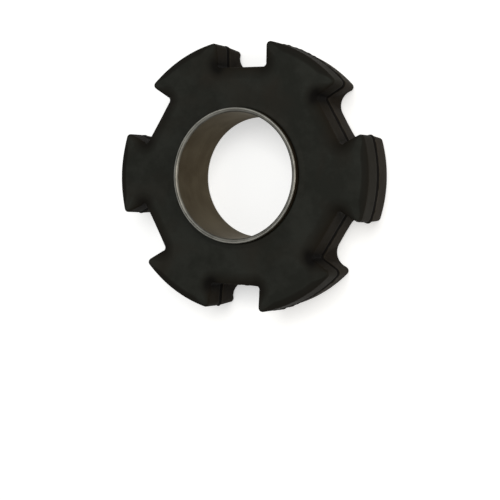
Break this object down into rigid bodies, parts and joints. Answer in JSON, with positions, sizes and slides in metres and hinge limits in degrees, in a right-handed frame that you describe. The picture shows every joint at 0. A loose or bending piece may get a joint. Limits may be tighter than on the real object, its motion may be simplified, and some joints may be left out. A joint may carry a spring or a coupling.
{
  "type": "rubber drive coupling",
  "caption": "Round lobed rubber coupling element on a steel centre sleeve; open notches between the lobes take the claws of two hubs.",
  "frame": {"origin": "on the bore's axis, in the plane of the back face that the coupling lies on", "axes": "+Z along the bore's axis, out of the face that the sleeve stands proud of; +X through the middle of a lobe; +Y through the middle of a notch"},
  "size_m": [0.1108, 0.1076, 0.027],
  "materials": {
    "rubber": "matt black moulded rubber with a faint bloom",
    "steel": "turned steel, dull grey, darker inside the bore"
  },
  "bodies": {
    "root": {"rubber_body": "rubber", "steel_sleeve": "steel"}
  },
  "joints": []
}
